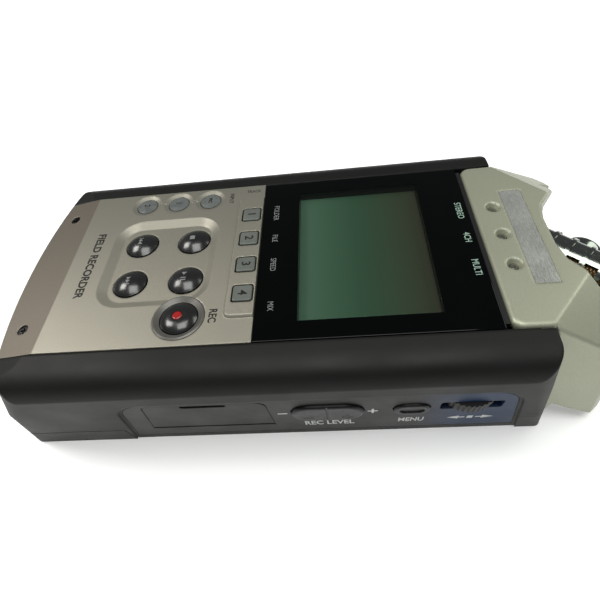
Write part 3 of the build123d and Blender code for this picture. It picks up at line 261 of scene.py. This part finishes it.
inner_black = (Mat("inner_black", lin((17, 17, 17)), rough=0.5, spec=0.3).mottle(120, 0.15).speck(3600, 0.15, 0.2)
               .bump(2600, 0.25, 0.015 * MM).edges(lin((50, 50, 50)), 0.2 * MM, 0.01, 0.4, 0.3)).done()
dark_chrome = (Mat("dark_chrome", lin((122, 126, 120)), rough=0.14, metallic=1.0)
               .mottle(420, 0.10).rough_var(1200, 0.06).bump(1400, 0.06, 0.01 * MM)).done()
plate_metal = (Mat("plate_metal", lin((216, 218, 210)), rough=0.26, metallic=0.85)
               .mottle(160, 0.16).rough_var(900, 0.08, stretch=(1, 8, 1)).bump(900, 0.04, 0.01 * MM, stretch=(1, 8, 1))
               .bump(110, 0.35, 0.12 * MM)).done()
steel = (Mat("steel", lin((150, 150, 150)), rough=0.3, metallic=1.0)
         .mottle(400, 0.08).rough_var(1500, 0.08).bump(2600, 0.15, 0.01 * MM)).done()
black_steel = (Mat("black_steel", lin((48, 48, 48)), rough=0.32, metallic=0.9)
               .mottle(400, 0.12).rough_var(1500, 0.08).bump(2600, 0.15, 0.01 * MM)
               .edges(lin((120, 120, 122)), 0.12 * MM, 0.01, 0.4, 0.5)).done()
brass = (Mat("brass", lin((120, 98, 66)), rough=0.34, metallic=1.0)
         .mottle(300, 0.08).rough_var(1200, 0.08).bump(2400, 0.12, 0.01 * MM)).done()
copper_mesh = (Mat("copper_mesh", lin((120, 98, 78)), rough=0.4, metallic=0.85)
               .mottle(900, 0.22).rough_var(2400, 0.1)).done()
board_green = (Mat("board_green", lin((28, 74, 44)), rough=0.4, spec=0.5, coat=0.3, coat_rough=0.2)
               .mottle(180, 0.25).speck(1600, 0.3, 0.2).bump(900, 0.2, 0.02 * MM)).done()
cell_wrap = (Mat("cell_wrap", lin((48, 74, 110)), rough=0.3, coat=0.4, coat_rough=0.1)
             .mottle(60, 0.2).rough_var(300, 0.08)).done()
red_lens = (Mat("red_lens", lin((142, 14, 14)), rough=0.25, coat=0.6, coat_rough=0.08).mottle(900, 0.2)
            .bump(1500, 0.05, 0.01 * MM).soften(0.3 * MM)).done()
smoke_lens = (Mat("smoke_lens", lin((70, 68, 60)), rough=0.2, coat=0.5, coat_rough=0.08).mottle(900, 0.25)
              .bump(1500, 0.05, 0.01 * MM).soften(0.25 * MM)).done()

lcd = Mat("lcd_glass", lin((50, 74, 58)), rough=0.35, spec=0.2)
lcd_sep = lcd.nt.nodes.new("ShaderNodeSeparateXYZ")
lcd.link(lcd.tc.outputs["Object"], lcd_sep.inputs["Vector"])
# painted shade: the LCD is painted light green at the low-y end and darker olive towards the head end
lcd_painted_falloff = lcd.maprange(lcd_sep.outputs["Y"], -0.003, 0.0273, 0.0, 1.0)
lcd.color = lcd.ramp(lcd_painted_falloff, [(0.0, lin((94, 132, 108))), (0.45, lin((66, 102, 78))), (1.0, lin((70, 72, 56)))])
lcd.speck(2600, 0.05, 0.25)
lcd.rough_var(400, 0.04)
lcd_mat = lcd.done()

label_dark = (Mat("label_dark", lin((20, 19, 18)), rough=0.5, spec=0.3).mottle(1500, 0.15).rough_var(3000, 0.1)).done()
label_light = (Mat("label_light", lin((196, 198, 196)), rough=0.5, spec=0.3).mottle(1500, 0.08).rough_var(3000, 0.1)).done()
label_mode = (Mat("label_mode", lin((134, 158, 146)), rough=0.5, spec=0.3).mottle(1500, 0.08).rough_var(3000, 0.1)).done()
label_dim = (Mat("label_dim", lin((112, 114, 114)), rough=0.5, spec=0.3).mottle(1500, 0.08).rough_var(3000, 0.1)).done()

assign = {
    "mid_frame": black, "rear_cover": rear_black, "battery_door": rear_black, "front_cover": silver,
    "right_control_panel": panel_mat, "left_control_panel": panel_mat, "sd_door": door_black,
    "display_window": gloss_black, "lcd_panel": lcd_mat, "lcd_bezel": inner_black, "key_board": board_green,
    "keypad_membrane": rubber, "head_housing": silver_head, "head_rear_cover": rear_black, "nameplate": plate_metal,
    "mode_led_lenses": smoke_lens, "mic_collars": black_steel,
    "mic_barrel_left": dark_chrome, "mic_barrel_right": dark_chrome,
    "mic_mesh_left": copper_mesh, "mic_mesh_right": copper_mesh,
    "mic_element_left": brass, "mic_element_right": brass,
    "record_button": key_black, "record_lens": red_lens, "record_ring": ring_grey,
    "rewind_button": key_black, "stop_button": key_black, "forward_button": key_black, "play_pause_button": key_black,
    "input_button_mic": key_smoke, "input_button_1": key_smoke, "input_button_2": key_smoke,
    "track_key_1": key_grey, "track_key_2": key_grey, "track_key_3": key_grey, "track_key_4": key_grey,
    "rec_level_rocker": rocker_black, "volume_rocker": rocker_black, "menu_button": rocker_black,
    "scroll_dial": inner_black, "dial_bracket": steel, "sd_socket": steel, "sd_card": inner_black,
    "power_switch": key_black, "phones_jack": inner_black, "usb_socket": steel, "dc_jack": inner_black,
    "input_jack_shells": inner_black, "input_jack_inserts": inner_black,
    "main_board": board_green, "battery_tray": inner_black, "batteries": cell_wrap, "speaker": inner_black,
    "tripod_insert": brass, "face_screws": black_steel, "rear_screws": black_steel,
}
for name, m in assign.items():
    setmat(nodes[name], m)
for name, o in nodes.items():
    if name not in assign:
        setmat(o, inner_black)


# ------------------------------------------------------------------ geometry helpers
def mesh_object(name, verts, faces, mat, smooth=False):
    me = bpy.data.meshes.new(name)
    me.from_pydata([tuple(v) for v in verts], [], faces)
    me.update()
    o = bpy.data.objects.new(name, me)
    scene.collection.objects.link(o)
    me.materials.append(mat)
    if smooth:
        for p in me.polygons:
            p.use_smooth = True
    return o


def text_mesh(name, text, size, mat, place, body="case", align="CENTER", thick=0.012 * MM, spacing=1.0, xs=1.0, bold=0.0):
    """Printed lettering as thin geometry. place maps the text plane (x right, y up) into the row frame."""
    cu = bpy.data.curves.new(name, "FONT")
    cu.body = text
    cu.size = size
    cu.align_x = align
    cu.align_y = "CENTER"
    cu.extrude = thick
    cu.space_character = spacing
    cu.offset = bold * size
    cu.resolution_u = 3
    tmp = bpy.data.objects.new(name + "_tmp", cu)
    scene.collection.objects.link(tmp)
    bpy.context.view_layer.update()
    dg = bpy.context.evaluated_depsgraph_get()
    me = bpy.data.meshes.new_from_object(tmp.evaluated_get(dg))
    bpy.data.objects.remove(tmp)
    me.name = name
    o = bpy.data.objects.new(name, me)
    scene.collection.objects.link(o)
    me.transform(Matrix.Diagonal((xs, 1, 1, 1)))
    me.transform(place)
    me.materials.clear()
    me.materials.append(mat)
    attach(o, body)
    return o


def on_face(x, y, z, turn=0.0):
    """Text plane lying on a face that looks up, x and y in mm."""
    return Matrix.Translation((x * MM, y * MM, z * MM)) @ Matrix.Rotation(math.radians(turn), 4, "Z")


N = math.hypot(1.0, 0.118)


def flank(side, y, t, lift=0.0):
    """Text plane on a flank: y along the case, t up the flank, lift outward from the panel floor (mm)."""
    s = 1 if side == "R" else -1
    d = 0.4 - lift
    pos = Vector((s * (31.4 + t * 0.118 / N - d / N), y, t / N + d * 0.118 / N)) * MM
    zc = Vector((s / N, 0, -0.118 / N))
    xc = Vector((0, s, 0))
    yc = zc.cross(xc)
    m = Matrix.Identity(4)
    for i in range(3):
        m[i][0], m[i][1], m[i][2], m[i][3] = xc[i], yc[i], zc[i], pos[i]
    return m


def shape_mesh(name, polys, mat, place, body="case", thick=0.02 * MM, dome=None, cuts=6):
    """Flat printed marks from 2D polygons (mm), as thin solids; dome=(cx, cy, top, R) drapes them on a cap."""
    bm = bmesh.new()
    for poly in polys:
        vs = [bm.verts.new((x * MM, y * MM, 0)) for x, y in poly]
        bm.faces.new(vs)
    bmesh.ops.triangulate(bm, faces=bm.faces[:])
    if dome:
        for _ in range(3):
            bmesh.ops.subdivide_edges(bm, edges=bm.edges[:], cuts=1, use_grid_fill=True)
    bm.normal_update()
    for f in bm.faces:
        if f.normal.z < 0:
            f.normal_flip()
    geo = bmesh.ops.extrude_face_region(bm, geom=bm.faces[:])
    for v in geo["geom"]:
        if isinstance(v, bmesh.types.BMVert):
            v.co.z += thick
    bmesh.ops.recalc_face_normals(bm, faces=bm.faces[:])
    me = bpy.data.meshes.new(name)
    bm.to_mesh(me)
    bm.free()
    me.transform(place)
    if dome:
        cx, cy, top, R = dome
        for v in me.vertices:
            x, y = v.co.x / MM - cx, v.co.y / MM - cy
            v.co.z += (top - R + math.sqrt(max(R * R - x * x - y * y, 0.0))) * MM
    o = bpy.data.objects.new(name, me)
    scene.collection.objects.link(o)
    me.materials.append(mat)
    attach(o, body)
    return o


def circle_poly(cx, cy, r, n=32):
    return [(cx + r * math.cos(2 * math.pi * k / n), cy + r * math.sin(2 * math.pi * k / n)) for k in range(n)]


# ------------------------------------------------------------------ printed marks
FZ = 35.0
text_mesh("label_rec", "REC", 2.5 * MM, label_dark, on_face(18.4, -21.6, FZ + 0.005), xs=0.84, bold=0.025)
text_mesh("label_input", "INPUT", 1.6 * MM, label_dark, on_face(-21.2, -21.6, FZ + 0.005), xs=0.9, bold=0.012)
text_mesh("label_track", "TRACK", 1.5 * MM, label_dark, on_face(-23.4, -15.6, FZ + 0.005, 90), xs=0.8, bold=0.01)
text_mesh("label_title", "FIELD RECORDER", 2.9 * MM, label_dark, on_face(0, -55.4, FZ + 0.005), xs=0.96, bold=0.03)
for x, s in ((-9.3, "STEREO"), (0.0, "4CH"), (9.3, "MULTI")):
    text_mesh("label_" + s.lower(), s, 2.1 * MM, label_mode, on_face(x, 36.1, 34.8 + 0.005), xs=0.80, bold=0.008)
for x, s in ((-13.9, "FOLDER"), (-4.5, "FILE"), (4.3, "SPEED"), (16.6, "MIX")):
    text_mesh("label_" + s.lower(), s, 1.9 * MM, label_dim, on_face(x, -9.0, 34.8 + 0.005), xs=0.80)

# key marks, draped over the domed caps
R_key = (4.05 ** 2 + 1.4 ** 2) / 2.8
TOP = FZ + 0.55
tri_r = lambda x, y, s: [(x - 0.5 * s, y - 0.62 * s), (x + 0.5 * s, y), (x - 0.5 * s, y + 0.62 * s)]
tri_l = lambda x, y, s: [(x + 0.5 * s, y - 0.62 * s), (x + 0.5 * s, y + 0.62 * s), (x - 0.5 * s, y)]
bar = lambda x, y, w, h: [(x - w / 2, y - h / 2), (x + w / 2, y - h / 2), (x + w / 2, y + h / 2), (x - w / 2, y + h / 2)]
keys = {
    "rewind_button": ((-6.4, -43.7), [bar(-1.15, 0, 0.22, 1.2), tri_l(-0.5, 0, 0.95), tri_l(0.45, 0, 0.95)]),
    "forward_button": ((6.6, -43.7), [tri_r(-0.45, 0, 0.95), tri_r(0.5, 0, 0.95), bar(1.15, 0, 0.22, 1.2)]),
    "stop_button": ((-6.4, -30.0), [bar(0, 0, 1.25, 1.25)]),
    "play_pause_button": ((6.6, -30.0), [tri_r(-0.85, 0, 1.05), bar(0.45, 0, 0.28, 1.25), bar(1.05, 0, 0.28, 1.25)]),
}
for kname, ((cx, cy), polys) in keys.items():
    shape_mesh("mark_" + kname, polys, label_dim, Matrix.Translation((cx * MM, cy * MM, 0)), body=kname,
               dome=(cx, cy, TOP + 0.004, R_key), thick=0.012 * MM)
track_keys = {"1": -13.1, "2": -4.37, "3": 4.37, "4": 13.1}
for s, x in track_keys.items():
    text_mesh("mark_track_" + s, s, 2.9 * MM, label_dark, on_face(x, -15.3, 35.85 + 0.004), body="track_key_" + s, bold=0.02)
# input key marks lie just over the shallow domes
for s, y, k in (("1", -36.6, 2.2), ("2", -45.6, 2.2), ("MIC", -27.6, 1.35)):
    text_mesh("mark_input_" + s.lower(), s, k * MM, label_dark, on_face(-21.2, y, 35.0 + 0.004), body="input_button_" + s.lower(),
              bold=0.02, xs=0.85)

# flank marks
text_mesh("label_level", "REC LEVEL", 4.1 * MM, label_light, flank("R", 1.7, 7.7, 0.01), xs=0.62, bold=0.02)
text_mesh("label_menu", "MENU", 3.9 * MM, label_light, flank("R", 20.9, 7.9, 0.01), xs=0.56, bold=0.015)
shape_mesh("label_minus", [bar(0, 0, 2.2, 0.6)], label_light, flank("R", -8.5, 15.6, 0.01), thick=0.015 * MM)
shape_mesh("label_plus", [bar(0, 0, 2.2, 0.6), bar(0, 0.85, 0.5, 1.1), bar(0, -0.85, 0.5, 1.1)], label_light,
           flank("R", 11.9, 15.3, 0.01), thick=0.015 * MM)
shape_mesh("label_dial", [[(-5.2, 0), (-2.6, 1.1), (-2.6, -1.1)], [(5.2, 0), (2.6, -1.1), (2.6, 1.1)],
                          bar(-1.9, 0, 1.4, 0.6), bar(1.9, 0, 1.4, 0.6), bar(0, 0, 1.3, 1.7)],
           label_light, flank("R", 34.3, 8.4, 0.01), thick=0.015 * MM)
# raised marks on the rocker halves
shape_mesh("mark_rock_minus", [bar(0, 0, 2.6, 1.0)], label_dark, flank("R", -2.6, 14.4, 0.9 + 0.005), body="rec_level_rocker",
           thick=0.02 * MM)
shape_mesh("mark_rock_plus", [bar(0, 0, 2.6, 1.0), bar(0, 1.1, 0.9, 1.2), bar(0, -1.1, 0.9, 1.2)], label_dark,
           flank("R", 6.2, 14.4, 0.9 + 0.005), body="rec_level_rocker", thick=0.02 * MM)

# ------------------------------------------------------------------ display window: masked acrylic and clear pane
def frame_plate(name, outer, inner, z0, z1, mat, bevel=0.2):
    """Flat plate with a rectangular opening; outer and inner are x0, x1, y0, y1 in mm."""
    bm = bmesh.new()

    def ring(box, z):
        x0, x1, y0, y1 = box
        return [bm.verts.new((x * MM, y * MM, z * MM)) for x, y in ((x0, y0), (x1, y0), (x1, y1), (x0, y1))]
    ot, it, ob, ib = ring(outer, z1), ring(inner, z1), ring(outer, z0), ring(inner, z0)
    for k in range(4):
        n = (k + 1) % 4
        bm.faces.new((ot[k], ot[n], it[n], it[k]))
        bm.faces.new((ob[n], ob[k], ib[k], ib[n]))
        bm.faces.new((ob[k], ob[n], ot[n], ot[k]))
        bm.faces.new((ib[n], ib[k], it[k], it[n]))
    bmesh.ops.recalc_face_normals(bm, faces=bm.faces[:])
    edges = [e for e in bm.edges if all(abs(v.co.z - z1 * MM) < 1e-7 for v in e.verts)
             and all(v in ot for v in e.verts)]
    bmesh.ops.bevel(bm, geom=edges, offset=bevel * MM, segments=3, affect="EDGES", profile=0.5)
    me = bpy.data.meshes.new(name)
    bm.to_mesh(me)
    bm.free()
    o = bpy.data.objects.new(name, me)
    scene.collection.objects.link(o)
    me.materials.append(mat)
    return o


LCD = (-20.9, 20.9, -3.0, 27.3)
mask = frame_plate("window_mask", (-25.7, 25.7, -12.4, 38.2), LCD, 33.62, 34.8, gloss_black)
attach(mask, "case")
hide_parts("display_window")
bm = bmesh.new()
bmesh.ops.create_cube(bm, size=1.0)
for v in bm.verts:
    v.co = Vector((v.co.x * 41.76, v.co.y * 30.26 + 12.15, v.co.z * 0.35 + 34.62)) * MM
bmesh.ops.bevel(bm, geom=bm.edges[:], offset=0.03 * MM, segments=2, affect="EDGES", profile=0.5)
me = bpy.data.meshes.new("window_pane")
bm.to_mesh(me)
bm.free()
pane = bpy.data.objects.new("window_pane", me)
scene.collection.objects.link(pane)
pm = Mat("window_clear", lin((20, 24, 21)), rough=0.04, spec=0.25)
pm.rough_var(300, 0.01)
pm.p.inputs["Alpha"].default_value = 0.22
pane.data.materials.append(pm.done())
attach(pane, "case")
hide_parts("display_window")

# ------------------------------------------------------------------ woven wire sleeves of the capsules
def wire_sleeve(name, origin, axis, radius, length, mat, strands=22, turns=1.6, wire=0.11, body="case"):
    zc = Vector(axis).normalized()
    xc = Vector((0, 0, 1))
    yc = zc.cross(xc).normalized()
    xc = yc.cross(zc).normalized()
    verts, faces = [], []
    steps = 44
    for sense in (1, -1):
        for k in range(strands):
            base = len(verts)
            for j in range(steps + 1):
                f = j / steps
                a = 2 * math.pi * (k / strands + sense * turns * f)
                wob = 0.06 * math.sin(2 * math.pi * (strands * 2 * turns * f) + k * math.pi) * sense
                r = radius + wob
                c = Vector(origin) * MM + zc * (f * length * MM) + (xc * math.cos(a) + yc * math.sin(a)) * (r * MM)
                er = xc * math.cos(a) + yc * math.sin(a)
                et = zc
                for p in ((er, 1), (et, 1), (er, -1), (et, -1)):
                    verts.append(c + p[0] * (p[1] * wire * MM))
            for j in range(steps):
                for q in range(4):
                    n = (q + 1) % 4
                    a0 = base + j * 4
                    faces.append((a0 + q, a0 + n, a0 + 4 + n, a0 + 4 + q))
    o = mesh_object(name, verts, faces, mat)
    bm = bmesh.new()
    bm.from_mesh(o.data)
    bmesh.ops.recalc_face_normals(bm, faces=bm.faces[:])
    bm.to_mesh(o.data)
    bm.free()
    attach(o, body)
    return o


for side, sx, zz in (("left", 1, 24.0), ("right", -1, 11.2)):
    b = math.radians(45.0)
    ax = Vector((sx * math.sin(b), math.cos(b), 0))
    org = Vector((sx * -7.4, 53.2, zz)) + ax * 2.4
    sl = wire_sleeve("mesh_sleeve_" + side, org, ax, 4.72, 27.4, copper_mesh, body="mic_" + side)
    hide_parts("mic_mesh_" + side)

# ------------------------------------------------------------------ floor, light, camera
bpy.ops.mesh.primitive_plane_add(size=6.0, location=(0, 0, 0))
floor = bpy.context.active_object
floor.name = "floor"
fm = Mat("floor_pale", (0.86, 0.86, 0.86, 1), rough=0.85, spec=0.15)
fm.mottle(6, 0.01)
fm.p.inputs["Emission Color"].default_value = (1, 1, 1, 1)
fm.p.inputs["Emission Strength"].default_value = 0.25
setmat(floor, fm.done())

world = bpy.data.worlds.new("studio")
scene.world = world
world.use_nodes = True
wn = world.node_tree
wn.nodes.clear()
wo = wn.nodes.new("ShaderNodeOutputWorld")
bg = wn.nodes.new("ShaderNodeBackground")
bg.inputs["Color"].default_value = (0.93, 0.97, 1.0, 1)
bg.inputs["Strength"].default_value = 0.18
wn.links.new(bg.outputs["Background"], wo.inputs["Surface"])


def area(name, loc, target, size, energy, color=(1, 1, 1), size_y=None):
    li = bpy.data.lights.new(name, "AREA")
    li.energy = energy
    li.color = color
    li.shape = "RECTANGLE" if size_y else "SQUARE"
    li.size = size
    if size_y:
        li.size_y = size_y
    o = bpy.data.objects.new(name, li)
    scene.collection.objects.link(o)
    o.location = loc
    d = Vector(target) - Vector(loc)
    o.rotation_euler = d.to_track_quat("-Z", "Y").to_euler()
    return o


area("key_soft", (-0.17, -0.62, 0.74), (0, 0, 0), 0.34, 4.6, (1.0, 0.97, 0.93))
area("over_soft", (0.12, 0.02, 1.05), (0, 0, 0), 0.6, 8.0, (0.985, 1.0, 0.96))
area("head_soft", (-0.35, 0.75, 0.55), (0, 0.03, 0.02), 0.45, 2.6, (0.96, 1.0, 0.92))

cam = bpy.data.cameras.new("photo_view")
cam.lens = 26.735
cam.sensor_width = 36.0
cam.clip_start = 0.005
camo = bpy.data.objects.new("photo_view", cam)
scene.collection.objects.link(camo)
right = Vector((-0.01339, 0.99310, -0.11653))
up = Vector((-0.78345, 0.06200, 0.61835))
back = Vector((0.62131, 0.09958, 0.77721))
cm = Matrix.Identity(4)
for i in range(3):
    cm[i][0], cm[i][1], cm[i][2] = right[i], up[i], back[i]
cm.translation = Vector((0.075563, 0.007194, 0.110030))
camo.matrix_world = cm
scene.camera = camo
scene.view_settings.view_transform = "Standard"
